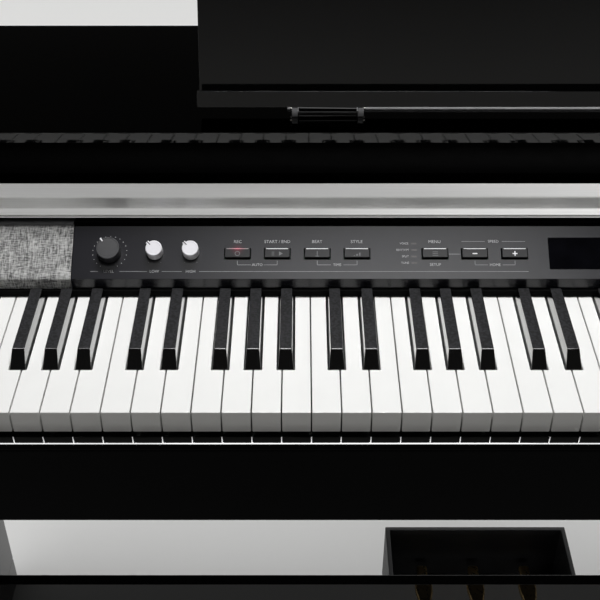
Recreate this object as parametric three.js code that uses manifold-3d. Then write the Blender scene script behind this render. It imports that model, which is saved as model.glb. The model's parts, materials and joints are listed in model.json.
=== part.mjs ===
// A digital home piano on a cabinet stand: 88 keys, sliding key cover, folding music rest and three pedals.
// Units are millimetres. +X is the player's right, -Y the player's side, +Z up, and the floor is z = 0.
// The origin lies on the floor, below the middle of the piano's box.

import * as THREE from 'three';
import { mergeVertices } from 'three/addons/utils/BufferGeometryUtils.js';
import Module from 'manifold-3d';

const wasm = await Module();
wasm.setup();

// ---------------------------------------------------------------- driving dimensions

const WIDTH = 1376;            // over the foot rails and the top board
const DEPTH = 430;
const KEY_TOP = 735;           // top face of the white keys above the floor
const KEY_FRONT = -201;        // y of the white keys' front edge
const GAP = 0.3;               // between pieces that touch

const KEY_PITCH = 23.5;        // one white key
const WHITE_COUNT = 52;
const KEYBOARD_W = KEY_PITCH * WHITE_COUNT;
const WHITE_THICK = 21;
const WHITE_HEAD = 50;         // full width part in front of the black keys
const BLACK_FRONT = 51.4;
const BLACK_END = 143.6;
const BLACK_HEIGHT = 12;
const BLACK_W = 12.8;
const BLACK_TOP_W = 9;
const BLACK_SLOPE = 12.8;       // depth of the sloping front
const BLACK_LEVER_W = 11.4;
const KEY_SLOT = 1;            // between neighbouring keys
const KEY_BACK = 250;

const SIDE_T = 24;
const SIDE_OUT = 685;          // outer face of a side board
const SIDE_IN = SIDE_OUT - SIDE_T;
const FOOT_H = 45;
const FOOT_W = 27;

const PANEL_HALF = 444;        // half width of the control panel
const PANEL_SLOPE = THREE.MathUtils.degToRad(33);
const PANEL_TOP = [190, 44];   // upper edge of the panel face, from the key front edge
const PANEL_LENGTH = 48.5;     // down the slope
const PANEL_RIM = 1.4;         // of the face above that edge
const PANEL_STEP = { z: 48.8, depth: 15 };  // low step behind the face: its top, and how far back it goes
const PANEL_SKIN = 3;
const FELT = { low: 0.8, top: 6.5, proud: 1.9 };  // strip below the panel's upright front

const COVER_CENTRE = [204, -474];  // centre of the arc that the key cover runs on
const COVER_R = 526;               // underside of the key cover
const COVER_T = 9;
const COVER_LENGTH = 188;

// Octave of single keys, from the 17th white key (a C) on.
const OCTAVE_START = 16;
const WHITES_IN_OCTAVE = 7;

// ---------------------------------------------------------------- materials

const finish = (color, roughness, metalness = 0) => ({ color, roughness, metalness });
const GLOSS_BLACK = finish(0x050505, 0.08);
const SATIN_BLACK = finish(0x1b1b1d, 0.45);
const PANEL_GREY = finish(0x2c2c30, 0.4);
const KEY_WHITE = finish(0xf2f2ef, 0.25);
const KEY_BLACK = finish(0x0b0b0c, 0.3);
const FABRIC = finish(0x9a9a98, 0.9);
const BRUSHED = finish(0xb4b4b0, 0.35, 1);
const STEEL = finish(0x8d9094, 0.4, 1);
const BRASS = finish(0xc9a34e, 0.25, 1);
const WHITE_PLASTIC = finish(0xe9e9e6, 0.35);
const DARK_PLASTIC = finish(0x232326, 0.45);
const DISPLAY_GLASS = finish(0x030304, 0.05);
const BOARD_GREEN = finish(0x1f5136, 0.5);
const PAPER_CONE = finish(0x151515, 0.8);

// ---------------------------------------------------------------- helpers

const piano = new THREE.Group();

const X = new THREE.Vector3(1, 0, 0);
const Y = new THREE.Vector3(0, 1, 0);
const Z = new THREE.Vector3(0, 0, 1);

// A shape drawn in (y, z) and extruded along +X, or drawn in (x, z) and extruded along -Y.
const ALONG_X = new THREE.Matrix4().makeBasis(Y, Z, X);
const ALONG_MINUS_Y = new THREE.Matrix4().makeBasis(X, Z, Y.clone().negate());

// A point of the side view, given behind and above the white keys' top front edge.
const side = ([y, z]) => [KEY_FRONT + y, KEY_TOP + z];

function add(name, geometry, look, parent = piano) {
  const mesh = new THREE.Mesh(geometry, new THREE.MeshStandardMaterial(look));
  mesh.name = name;
  parent.add(mesh);
  return mesh;
}

function shapeOf(points) {
  return new THREE.Shape(points.map(([u, v]) => new THREE.Vector2(u, v)));
}

function extrude(points, depth) {
  return new THREE.ExtrudeGeometry(shapeOf(points), { depth, bevelEnabled: false });
}

// A side-view outline in piano coordinates, swept from x0 to x1.
function alongX(points, x0, x1) {
  return extrude(points, x1 - x0).applyMatrix4(ALONG_X).translate(x0, 0, 0);
}

// The same, with the outline given from the key front edge.
const sideProfile = (points, x0, x1) => alongX(points.map(side), x0, x1);

function box(x0, x1, y0, y1, z0, z1) {
  const size = [x1 - x0, y1 - y0, z1 - z0];
  return new THREE.BoxGeometry(...size).translate((x0 + x1) / 2, (y0 + y1) / 2, (z0 + z1) / 2);
}

// A box whose y and z are given from the key front edge.
const keyBox = (x0, x1, y0, y1, z0, z1) =>
  box(x0, x1, KEY_FRONT + y0, KEY_FRONT + y1, KEY_TOP + z0, KEY_TOP + z1);

function solidOf(geometry) {
  const bare = geometry.clone();
  bare.deleteAttribute('normal');
  bare.deleteAttribute('uv');
  const merged = mergeVertices(bare, 1e-4);
  return new wasm.Manifold(new wasm.Mesh({
    numProp: 3,
    vertProperties: new Float32Array(merged.attributes.position.array),
    triVerts: new Uint32Array(merged.index.array),
  }));
}

function geometryOf(solid) {
  const mesh = solid.getMesh();
  const geometry = new THREE.BufferGeometry();
  geometry.setAttribute('position', new THREE.BufferAttribute(mesh.vertProperties, 3));
  geometry.setIndex(new THREE.BufferAttribute(mesh.triVerts, 1));
  geometry.computeVertexNormals();
  return geometry;
}

function join(first, ...others) {
  return geometryOf(others.reduce((sum, g) => sum.add(solidOf(g)), solidOf(first)));
}

function cut(first, ...others) {
  return geometryOf(others.reduce((rest, g) => rest.subtract(solidOf(g)), solidOf(first)));
}

// Points of an arc about (cx, cy), angles in degrees.
function arc(cx, cy, r, from, to, steps) {
  return Array.from({ length: steps + 1 }, (_, i) => {
    const a = THREE.MathUtils.degToRad(from + (to - from) * i / steps);
    return [cx + r * Math.cos(a), cy + r * Math.sin(a)];
  });
}

// Outline corners [u, v] or [u, v, radius], those with a radius rounded off.
function rounded(corners, steps = 8) {
  return corners.flatMap(([u, v, radius], n) => {
    if (!radius) {
      return [[u, v]];
    }
    const corner = new THREE.Vector2(u, v);
    const towards = ([tu, tv]) => new THREE.Vector2(tu, tv).sub(corner).normalize();
    const back = towards(corners.at(n - 1));
    const on = towards(corners[(n + 1) % corners.length]);
    const half = Math.acos(back.dot(on)) / 2;
    const reach = radius / Math.tan(half);
    const centre = back.clone().add(on).normalize().multiplyScalar(radius / Math.sin(half)).add(corner);
    const first = corner.clone().addScaledVector(back, reach).sub(centre);
    const last = corner.clone().addScaledVector(on, reach).sub(centre);
    const sweep = Math.atan2(first.cross(last), first.dot(last));
    const [from, to] = [first.angle(), first.angle() + sweep].map(THREE.MathUtils.radToDeg);
    return arc(centre.x, centre.y, radius, from, to, steps);
  });
}

// A body turned about an upright axis: profile points are radius and height.
function turned(profile, segments = 24) {
  const points = profile.map(([r, z]) => new THREE.Vector2(r, z));
  return new THREE.LatheGeometry(points, segments).rotateX(Math.PI / 2);
}

const mirrored = (build) => {
  for (const [sideName, sign] of [['left', -1], ['right', 1]]) {
    build(sideName, sign);
  }
};

// ---------------------------------------------------------------- stand

const TOP_UNDER = 111;         // underside of the top board, above the key tops
const TOP_T = 22;
const BACK_Y = 416;            // rear face of the piano, behind the key front edge
const BED_UNDER = -113;
const BED_T = 18;
const FLOOR = -KEY_TOP;        // the floor, in key coordinates
const LEG_FRONT = 168;         // front edge of the side board below the key bed

// The side board's arm beside the keys: its front edge, where its upper edge bends up to the top board, and
// the heights of its upper and lower edges.
const ARM = { front: -14, knee: 148, top: 202, upper: 20, under: BED_UNDER - 10 };

function sideBoard(sign) {
  const outline = rounded([
    [LEG_FRONT, FLOOR + FOOT_H + GAP],
    [BACK_Y, FLOOR + FOOT_H + GAP],
    [BACK_Y, TOP_UNDER - GAP],
    [ARM.top, TOP_UNDER - GAP],
    [ARM.knee, ARM.upper + 4, 40],
    [ARM.front, ARM.upper - 6, 12],
    [ARM.front, ARM.under, 16],
    [LEG_FRONT, ARM.under, 60],
  ]);
  const x0 = sign < 0 ? -SIDE_OUT : SIDE_IN;
  return sideProfile(outline, x0, x0 + SIDE_T);
}

function footRail(sign) {
  const outline = rounded([
    [-DEPTH / 2 + 3, 0],
    [DEPTH / 2 - 3, 0],
    [DEPTH / 2, 3],
    [DEPTH / 2, FOOT_H, 4],
    [-DEPTH / 2 + 150, FOOT_H, 60],
    [-DEPTH / 2, 30, 14],
    [-DEPTH / 2, 3],
  ]);
  const x0 = sign < 0 ? -WIDTH / 2 : WIDTH / 2 - FOOT_W;
  return alongX(outline, x0, x0 + FOOT_W);
}

mirrored((name, sign) => {
  add(`side_panel_${name}`, sideBoard(sign), GLOSS_BLACK);
  add(`foot_rail_${name}`, footRail(sign), GLOSS_BLACK);
});

const INNER = SIDE_IN - GAP;   // half the clear width between the side boards

const LOWER_BACK = { y: [386, 402], low: FLOOR + 190 };
add('lower_back_panel', keyBox(-INNER, INNER, ...LOWER_BACK.y, LOWER_BACK.low, BED_UNDER - GAP), SATIN_BLACK);

// Pedal board: a wide rail with a slot for each pedal.
const PEDAL_X = [-72, 0, 72];
const PEDAL = { toe: 178, width: 24, flare: 58, neck: 84, neckHalf: 7, top: 72, thick: 9 };
const PEDAL_BOARD_Y = [288, 304];
const PEDAL_BOARD_Z = [FLOOR + 28, FLOOR + 150];
const PEDAL_SLOT = { half: 18, low: 44, high: 92 };
{
  const slots = PEDAL_X.map((x) => keyBox(x - PEDAL_SLOT.half, x + PEDAL_SLOT.half,
    PEDAL_BOARD_Y[0] - 5, PEDAL_BOARD_Y[1] + 5, FLOOR + PEDAL_SLOT.low, FLOOR + PEDAL_SLOT.high));
  const board = keyBox(-INNER, INNER, ...PEDAL_BOARD_Y, ...PEDAL_BOARD_Z);
  add('pedal_board', cut(board, ...slots), GLOSS_BLACK);
}

// Pedal box: a tray behind the board that carries the pedals' pivots, open at the front and the top.
const PEDAL_BOX = { half: 125, back: 402, low: FLOOR + 30, high: FLOOR + 130, wall: 6 };
const PEDAL_PIVOT_Y = 372;
{
  const { half, back, low, high, wall } = PEDAL_BOX;
  const front = PEDAL_BOARD_Y[1] + GAP;
  const outer = keyBox(-half, half, front, back, low, high);
  const hollow = keyBox(wall - half, half - wall, front - wall, back - wall, low + wall, high + wall);
  add('pedal_box', cut(outer, hollow), DARK_PLASTIC);
}

// A pedal: a steel arm that widens to a rounded toe.
function pedal(x) {
  const half = PEDAL.width / 2;
  const toe = KEY_FRONT + PEDAL.toe;
  const end = KEY_FRONT + PEDAL_PIVOT_Y + 10;
  const plan = [
    [-PEDAL.neckHalf, end],
    [-PEDAL.neckHalf, toe + PEDAL.neck],
    [-half, toe + PEDAL.flare],
    ...arc(0, toe + half, half, 180, 360, 8),
    [half, toe + PEDAL.flare],
    [PEDAL.neckHalf, toe + PEDAL.neck],
    [PEDAL.neckHalf, end],
  ];
  return extrude(plan, PEDAL.thick).translate(x, 0, PEDAL.top - PEDAL.thick);
}
['left', 'middle', 'right'].forEach((name, i) => {
  add(`pedal_${name}`, pedal(PEDAL_X[i]), BRASS);
});

// Height adjuster: a screw and its foot, below the pedal box.
{
  const foot = 14;
  const screw = 5;
  const height = PEDAL_BOX.low - FLOOR - GAP;
  const profile = [[0, 0], [foot, 0], [foot, 6], [screw, 8], [screw, height], [0, height]];
  add('height_adjuster', turned(profile, 20).translate(0, KEY_FRONT + 350, 0), DARK_PLASTIC);
}

// ---------------------------------------------------------------- case

const BED_TOP = BED_UNDER + BED_T;
const BED_Y = [-2, 400];
add('key_bed', keyBox(-INNER, INNER, ...BED_Y, BED_UNDER, BED_TOP), SATIN_BLACK);

const SLIP_TOP = -25.5;
const SLIP_R = 6;
const SLIP_FRONT = -12.6;
const SLIP_BACK = -2.3;
add('key_slip', sideProfile([
  [SLIP_FRONT + 3, BED_UNDER + 1],
  [SLIP_BACK, BED_UNDER + 1],
  [SLIP_BACK, SLIP_TOP],
  ...arc(SLIP_FRONT + SLIP_R, SLIP_TOP - SLIP_R, SLIP_R, 90, 180, 6),
  [SLIP_FRONT, BED_UNDER + 4],
], -INNER, INNER), GLOSS_BLACK);

// Cheek blocks close the space between the keys and the side boards.
const CHEEK = { front: -8, heel: -1.8, back: 142, top: 6.5, round: 7 };
mirrored((name, sign) => {
  const inner = KEYBOARD_W / 2 + 2;
  const x0 = sign < 0 ? -INNER : inner;
  add(`cheek_block_${name}`, sideProfile([
    [CHEEK.heel, BED_TOP + GAP],
    [CHEEK.back, BED_TOP + GAP],
    [CHEEK.back, CHEEK.top],
    ...arc(CHEEK.front + CHEEK.round, CHEEK.top - CHEEK.round, CHEEK.round, 90, 180, 4),
    [CHEEK.front, SLIP_TOP + GAP],
    [CHEEK.heel, SLIP_TOP + GAP],
  ], x0, x0 + INNER - inner), GLOSS_BLACK);
});

// Top board: a convex nose, undercut below it.
const NOSE_Y = 202;
const UNDERCUT = 30;
const TOP_UPPER = TOP_UNDER + TOP_T;
{
  const outline = [
    [NOSE_Y + UNDERCUT, TOP_UNDER],
    [BACK_Y, TOP_UNDER],
    [BACK_Y, TOP_UPPER],
    [NOSE_Y + 0.8, TOP_UPPER],
    [NOSE_Y, TOP_UPPER - 0.8],
    [NOSE_Y + 0.2, TOP_UPPER - 4],
    [NOSE_Y + 0.6, TOP_UPPER - 9.2],
    [NOSE_Y + 1.2, TOP_UPPER - 10],
  ];
  add('top_board', sideProfile(outline, -WIDTH / 2, WIDTH / 2), GLOSS_BLACK);
}

// Upper back board, with an opening for the sockets.
const UPPER_BACK_Y = [403, 414];
const SOCKET_X = [-560, -420];
const SOCKET_Z = [-70, -22];
{
  const board = keyBox(-INNER, INNER, ...UPPER_BACK_Y, BED_UNDER, TOP_UNDER - GAP);
  const opening = keyBox(...SOCKET_X, 395, 420, ...SOCKET_Z);
  add('upper_back_panel', cut(board, opening), SATIN_BLACK);
}

// Socket plate with the power inlet, two jacks and a data socket, as through holes.
const SOCKET_PLATE_Y = [407, 410];
{
  const inset = 1;
  const z0 = SOCKET_Z[0] + inset;
  const z1 = SOCKET_Z[1] - inset;
  const zMid = (z0 + z1) / 2;
  const left = SOCKET_X[0];
  const plate = keyBox(left + inset, SOCKET_X[1] - inset, ...SOCKET_PLATE_Y, z0, z1);
  const hole = (x, r) => new THREE.CylinderGeometry(r, r, 12, 16)
    .translate(x, KEY_FRONT + SOCKET_PLATE_Y[0] + 1, KEY_TOP + zMid);
  const inlet = hole(left + 24, 5.5);
  const jacks = [hole(left + 52, 6), hole(left + 76, 6)];
  const usb = keyBox(left + 98, left + 110, 400, 416, zMid - 5, zMid + 5);
  add('socket_plate', cut(plate, inlet, ...jacks, usb), DARK_PLASTIC);
}

// ---------------------------------------------------------------- keyboard

// Every key in order: its name, x and shape. Offsets of the black keys from the boundary they straddle.
const NAMES = ['C', 'D', 'E', 'F', 'G', 'A', 'B'];
const BLACK_OFFSET = { C: -2.5, D: 2.1, F: -3.4, G: -0.3, A: 2.9 };
const FIRST_WHITE = 5;         // the lowest key is an A
const whiteName = (i) => NAMES[(i + FIRST_WHITE) % NAMES.length];
const whiteX = (i) => -KEYBOARD_W / 2 + i * KEY_PITCH;

// Centre of the black key right of white key i, or null.
function blackCentre(i) {
  const offset = BLACK_OFFSET[whiteName(i)];
  const exists = offset !== undefined && i >= 0 && i < WHITE_COUNT - 1;
  return exists ? whiteX(i + 1) + offset : null;
}

function whiteKey(i) {
  const x0 = whiteX(i) + KEY_SLOT / 2;
  const x1 = whiteX(i + 1) - KEY_SLOT / 2;
  const before = blackCentre(i - 1);
  const after = blackCentre(i);
  const room = BLACK_W / 2 + KEY_SLOT;
  const tail0 = before === null ? x0 : before + room;
  const tail1 = after === null ? x1 : after - room;
  const plan = [
    [x0, 0], [x1, 0], [x1, WHITE_HEAD], [tail1, WHITE_HEAD], [tail1, KEY_BACK],
    [tail0, KEY_BACK], [tail0, WHITE_HEAD], [x0, WHITE_HEAD],
  ].filter(([px, py], n, all) => n === 0 || px !== all[n - 1][0] || py !== all[n - 1][1]);
  return extrude(plan, WHITE_THICK).translate(0, KEY_FRONT, KEY_TOP - WHITE_THICK);
}

// A black key: a cap that narrows upwards, on a lever that passes below the felt strip and rises behind it.
const BLACK_LOW = -17;
const LEVER_TOP = -1;
const LEVER_RISE = { y: 158, top: 1.5 };
function blackKey(cx) {
  const x = [cx - BLACK_LEVER_W / 2, cx + BLACK_LEVER_W / 2];
  const lever = keyBox(...x, BLACK_FRONT + 4, KEY_BACK, BLACK_LOW, LEVER_TOP);
  const rise = keyBox(...x, LEVER_RISE.y, KEY_BACK, BLACK_LOW, LEVER_RISE.top);
  const ring = (half, y0, y1, z) => [[-half, y0, z], [half, y0, z], [half, y1, z], [-half, y1, z]];
  const corners = [
    ...ring(BLACK_W / 2, BLACK_FRONT, BLACK_END + 1, -4),
    ...ring(BLACK_W / 2 - 0.2, BLACK_FRONT + 0.3, BLACK_END + 1, 1),
    ...ring(BLACK_TOP_W / 2, BLACK_FRONT + BLACK_SLOPE, BLACK_END, BLACK_HEIGHT),
  ];
  const faces = [0, 2, 1, 0, 3, 2, 8, 9, 10, 8, 10, 11];
  for (const level of [0, 4]) {
    for (let k = 0; k < 4; k += 1) {
      const a = level + k;
      const b = level + (k + 1) % 4;
      faces.push(a, b, b + 4, a, b + 4, a + 4);
    }
  }
  const cap = new THREE.BufferGeometry();
  cap.setAttribute('position', new THREE.Float32BufferAttribute(corners.flat(), 3));
  cap.setIndex(faces);
  cap.translate(cx, KEY_FRONT, KEY_TOP);
  return join(cap, lever, rise);
}

// Single keys of one octave.
for (let n = 0; n < WHITES_IN_OCTAVE; n += 1) {
  const i = OCTAVE_START + n;
  const letter = whiteName(i).toLowerCase();
  add(`white_key_${letter}`, whiteKey(i), KEY_WHITE);
  const centre = blackCentre(i);
  if (centre !== null) {
    add(`black_key_${letter}_sharp`, blackKey(centre), KEY_BLACK);
  }
}

// The keys on either side of that octave, joined by spines behind the panel's front.
const SPINE_Y = [166, 232];
const SPINE_LOW = -27;
const BLACK_SPINE_Z = [GAP, 3.5];
function keyBank(name, from, to) {
  const span = [whiteX(from) + KEY_SLOT / 2, whiteX(to) - KEY_SLOT / 2];
  const whites = [];
  const blacks = [];
  for (let i = from; i < to; i += 1) {
    whites.push(whiteKey(i));
    const centre = blackCentre(i);
    if (centre !== null) {
      blacks.push(centre);
    }
  }
  const whiteSpine = keyBox(...span, ...SPINE_Y, SPINE_LOW, BLACK_LOW - GAP);
  add(`white_keys_${name}`, join(whiteSpine, ...whites), KEY_WHITE);
  const ends = [blacks[0] - BLACK_LEVER_W / 2, blacks.at(-1) + BLACK_LEVER_W / 2];
  const blackSpine = keyBox(...ends, ...SPINE_Y, ...BLACK_SPINE_Z);
  add(`black_keys_${name}`, join(blackSpine, ...blacks.map(blackKey)), KEY_BLACK);
}
keyBank('low', 0, OCTAVE_START);
keyBank('high', OCTAVE_START + WHITES_IN_OCTAVE, WHITE_COUNT);

// Key frame: a tray with a stop rail under the key heads and a pivot rail under the tails.
const KEY_HALF = KEYBOARD_W / 2;
const FRAME_LOW = BED_TOP + GAP;
const FRAME_FLOOR = FRAME_LOW + 5;
const STOP_RAIL = { y: [14, 40], top: -46 };
const PIVOT_RAIL = { y: [236, 258], top: -29 };
add('key_frame', sideProfile([
  [6, FRAME_LOW],
  [PIVOT_RAIL.y[1], FRAME_LOW],
  [PIVOT_RAIL.y[1], PIVOT_RAIL.top],
  [PIVOT_RAIL.y[0], PIVOT_RAIL.top],
  [PIVOT_RAIL.y[0], FRAME_FLOOR],
  [STOP_RAIL.y[1], FRAME_FLOOR],
  [STOP_RAIL.y[1], STOP_RAIL.top],
  [STOP_RAIL.y[0], STOP_RAIL.top],
  [STOP_RAIL.y[0], FRAME_FLOOR],
  [6, FRAME_FLOOR],
], -KEY_HALF, KEY_HALF), DARK_PLASTIC);

const CONTACT_BOARD_Y = [96, 140];
const CONTACT_BOARD_Z = [FRAME_LOW + 16, FRAME_LOW + 18];
add('contact_board', keyBox(8 - KEY_HALF, KEY_HALF - 8, ...CONTACT_BOARD_Y, ...CONTACT_BOARD_Z), BOARD_GREEN);

// ---------------------------------------------------------------- control panel

// The panel face has its own axes: u to the right, v up the slope, w out of it.
const slopeUp = [Math.cos(PANEL_SLOPE), Math.sin(PANEL_SLOPE)];
const slopeOut = [-Math.sin(PANEL_SLOPE), Math.cos(PANEL_SLOPE)];

// A point of the side view at distance down the slope from the panel's top edge, and height off the face.
const onSlope = (down, out = 0) => [
  PANEL_TOP[0] - down * slopeUp[0] + out * slopeOut[0],
  PANEL_TOP[1] - down * slopeUp[1] + out * slopeOut[1],
];

const face = new THREE.Group();
face.position.set(0, ...side(PANEL_TOP));
face.rotation.x = PANEL_SLOPE;
piano.add(face);

// Places on the face: distance down the slope of the upper and lower edges, x of the left edge.
const BUTTON = { w: 22.6, top: 20.3, low: 29.9, proud: 2.2, deep: PANEL_SKIN + GAP };
const BUTTONS = [
  ['record', -310.2], ['play', -275.3], ['beat', -240.2], ['style', -205.3],
  ['menu', -136.7], ['minus', -101.9], ['plus', -66.8],
];
const POWER_X = 395;
const DISPLAY = { half: 25, top: 10, low: 39.2, deep: 2 };
const KNOBS = [
  { name: 'volume_knob', x: -411.3, down: 23, r: 10.4, height: 11, look: DARK_PLASTIC },
  { name: 'bass_knob', x: -371.4, down: 23, r: 7.3, height: 11, look: WHITE_PLASTIC },
  { name: 'treble_knob', x: -339.7, down: 23, r: 7.3, height: 11, look: WHITE_PLASTIC },
];
const SHAFT_R = 3;

// Side view of the panel and of the speaker grilles beside it, which lie a little deeper: the felt strip, the
// upright front, the slope and the low step behind it.
function panelSection(sunk = 0) {
  const bottom = onSlope(PANEL_LENGTH, -sunk);
  const top = onSlope(-PANEL_RIM, -sunk);
  const inside = bottom[0] + PANEL_SKIN;
  const back = PANEL_TOP[0] + PANEL_STEP.depth;
  const under = PANEL_TOP[1] - 14;
  return [
    [bottom[0] - FELT.proud, FELT.low],
    [inside, FELT.low],
    [inside, onSlope(PANEL_LENGTH - 3, -PANEL_SKIN)[1]],
    onSlope(PANEL_SKIN, -PANEL_SKIN - sunk),
    [PANEL_TOP[0] - 1, under],
    [back, under],
    [back, PANEL_STEP.z - sunk],
    [top[0], PANEL_STEP.z - sunk],
    top,
    bottom,
    [bottom[0], FELT.top],
    [bottom[0] - FELT.proud, FELT.top],
  ];
}

// A box in the face's own axes, brought to piano axes for cutting.
face.updateMatrixWorld(true);
const faceBox = (x0, x1, low, top, z0, z1) => box(x0, x1, -low, -top, z0, z1).applyMatrix4(face.matrixWorld);
const faceHole = (x, down, r) => new THREE.CylinderGeometry(r, r, 20, 16)
  .rotateX(Math.PI / 2).translate(x, -down, 0).applyMatrix4(face.matrixWorld);

{
  const clear = 0.5;
  const buttonX = [...BUTTONS.map(([, x]) => x), POWER_X];
  const cuts = buttonX.map((x) => faceBox(x - clear, x + BUTTON.w + clear, BUTTON.low + clear,
    BUTTON.top - clear, -8, 4));
  const shafts = KNOBS.map((k) => faceHole(k.x, k.down, SHAFT_R + clear));
  const rebate = faceBox(-DISPLAY.half - GAP, DISPLAY.half + GAP, DISPLAY.low + GAP, DISPLAY.top - GAP,
    -DISPLAY.deep - GAP, 4);
  const shell = sideProfile(panelSection(), -PANEL_HALF + GAP, PANEL_HALF - GAP);
  add('control_panel', cut(shell, ...cuts, ...shafts, rebate), PANEL_GREY);
}

// A button: the cap and a wider flange that stops it below the face.
function button() {
  const cap = box(0, BUTTON.w, -BUTTON.low, -BUTTON.top, -BUTTON.deep, BUTTON.proud);
  const rim = 1.5;
  const across = [-rim, BUTTON.w + rim, -BUTTON.low - rim, rim - BUTTON.top];
  const flange = box(...across, -BUTTON.deep - 1, -BUTTON.deep);
  return join(cap, flange);
}
BUTTONS.forEach(([name, x]) => {
  add(`${name}_button`, button(), DARK_PLASTIC, face).position.x = x;
});
add('power_button', button(), DARK_PLASTIC, face).position.x = POWER_X;

add('display_window', box(-DISPLAY.half, DISPLAY.half, -DISPLAY.low, -DISPLAY.top, -DISPLAY.deep, 0.2),
  DISPLAY_GLASS, face);

KNOBS.forEach(({ name, x, down, r, height, look }) => {
  const shaft = [[0, -7], [SHAFT_R, -7], [SHAFT_R, 0.6]];
  const cap = [[r, 0.6], [r, height - 0.6], [r - 0.6, height], [0, height]];
  add(name, turned([...shaft, ...cap]), look, face).position.set(x, -down, 0);
});

const PANEL_BOARD = { half: 436, low: 41, top: 10, z: [-9.6, -8] };
add('panel_circuit_board', box(-PANEL_BOARD.half, PANEL_BOARD.half, -PANEL_BOARD.low, -PANEL_BOARD.top,
  ...PANEL_BOARD.z), BOARD_GREEN, face);

// ---------------------------------------------------------------- speakers at the panel's ends

const GRILLE_SUNK = 0.7;
const CLOTH = 0.8;
const SPEAKER = { long: 50, short: 16, down: 26 };
const SPEAKER_HOLE = { margin: 28, low: 42, top: 10 };

mirrored((name, sign) => {
  const x0 = sign < 0 ? -KEY_HALF : PANEL_HALF;
  const x1 = x0 + KEY_HALF - PANEL_HALF;
  const frame = sideProfile(panelSection(GRILLE_SUNK), x0 + GAP, x1 - GAP);
  const { margin, low, top } = SPEAKER_HOLE;
  const hole = faceBox(x0 + margin, x1 - margin, low, top, -12, -GRILLE_SUNK - CLOTH);
  add(`speaker_grille_${name}`, cut(frame, hole), FABRIC);

  const magnet = [[0, -21], [0.5, -21], [0.5, -14]];
  const basket = [[0.88, -6], [1, -5], [1, -3.6], [0.86, -3.6]];
  const dish = [[0.3, -12], [0, -10]];
  const cone = turned([...magnet, ...basket, ...dish]).scale(SPEAKER.long, SPEAKER.short, 1);
  add(`speaker_${name}`, cone, PAPER_CONE, face).position.set((x0 + x1) / 2, -SPEAKER.down, 0);
});

// ---------------------------------------------------------------- inside, behind the panel

const MAIN_BOARD = { x: [-300, 120], y: [275, 385], z: [BED_TOP + 12, BED_TOP + 14] };
add('main_circuit_board', keyBox(...MAIN_BOARD.x, ...MAIN_BOARD.y, ...MAIN_BOARD.z), BOARD_GREEN);

// ---------------------------------------------------------------- key cover

// The cover is bent to the arc it runs on. Its front edge stands over the panel's upper edge when open.
const coverAngle = (y) => THREE.MathUtils.radToDeg(Math.acos((y - COVER_CENTRE[0]) / COVER_R));
const COVER_FRONT = 207;
const COVER_HALF = INNER - 3;
{
  const from = coverAngle(COVER_FRONT);
  const to = from - THREE.MathUtils.radToDeg(COVER_LENGTH / COVER_R);
  const under = arc(...COVER_CENTRE, COVER_R, from, to, 8);
  const over = arc(...COVER_CENTRE, COVER_R + COVER_T, to, from, 8);
  add('key_cover', sideProfile([...over, ...under], -COVER_HALF, COVER_HALF), GLOSS_BLACK);
}

// Aluminium handle strip on the cover's front edge.
add('key_cover_handle', sideProfile([
  [COVER_FRONT - GAP, 50],
  [COVER_FRONT - GAP, 79],
  [205.5, 79.6],
  [199, 69.5],
  [200.4, 57.4],
  [194.4, 54.2],
  [194.4, 52],
  [200, 50.4],
], -COVER_HALF, COVER_HALF), BRUSHED);

// ---------------------------------------------------------------- music rest

const REST = { half: 330, pivot: [234, TOP_UPPER + 7], height: 180, shelf: 30, lean: 20, thick: 8,
  corner: 30 };
const HINGE_X = [-220, 220];
{
  const lean = THREE.MathUtils.degToRad(REST.lean);
  const desk = new THREE.Group();
  desk.position.set(0, ...side(REST.pivot));
  desk.rotation.x = -lean;
  piano.add(desk);
  const outline = rounded([
    [-REST.half, 8],
    [REST.half, 8],
    [REST.half, REST.height, REST.corner],
    [-REST.half, REST.height, REST.corner],
  ]);
  const plate = extrude(outline, REST.thick).applyMatrix4(ALONG_MINUS_Y).translate(0, REST.thick / 2, 0);
  const shelf = box(-REST.half, REST.half, -REST.shelf, REST.thick / 2, 4, 10);
  const lip = box(-REST.half, REST.half, -REST.shelf, 4 - REST.shelf, 4, 17);
  const knuckles = HINGE_X.flatMap((x) => [
    new THREE.CylinderGeometry(4, 4, 50, 16).rotateZ(Math.PI / 2).translate(x, 0, 0),
    box(x - 25, x + 25, -3, 3, 0, 6),
  ]);
  add('music_rest', join(plate, shelf, lip, ...knuckles), GLOSS_BLACK, desk);
}

// Hinge brackets for the rest, screwed to the top board, joined by a base strip.
{
  const [py, pz] = REST.pivot;
  const ears = HINGE_X.flatMap((x) => [x - 31, x + 26]).map((x) =>
    keyBox(x, x + 5, py - 5, py + 3.5, TOP_UPPER + GAP, pz + 1.5));
  const strip = keyBox(-255, 255, py + 6, py + 16, TOP_UPPER + GAP, TOP_UPPER + 1.8);
  const feet = HINGE_X.map((x) => keyBox(x - 31, x + 31, py + 2, py + 8, TOP_UPPER + GAP, TOP_UPPER + 1.8));
  add('music_rest_hinge', join(strip, ...ears, ...feet), STEEL);
}

// ---------------------------------------------------------------- headphone box

const JACK = { x: [-575, -545], r: 3.4, deep: 24 };
{
  const top = BED_UNDER - GAP;
  const front = 4;
  const height = 26;
  const housing = keyBox(-600, -520, front, 74, top - height, top);
  const jacks = JACK.x.map((x) => new THREE.CylinderGeometry(JACK.r, JACK.r, JACK.deep, 16)
    .translate(x, KEY_FRONT + front, KEY_TOP + top - height / 2));
  add('headphone_box', cut(housing, ...jacks), DARK_PLASTIC);
}

export default piano;
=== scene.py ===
"""The looks of the digital piano, built around its CAD frame.

Points are metres in the frame's axes: x to the right, y to the back, z up. Named sizes are millimetres, which
MM turns into metres, unless their own line has MM in it already.
"""

import json
import math

import bmesh
import bpy
from mathutils import Matrix, Vector


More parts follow.
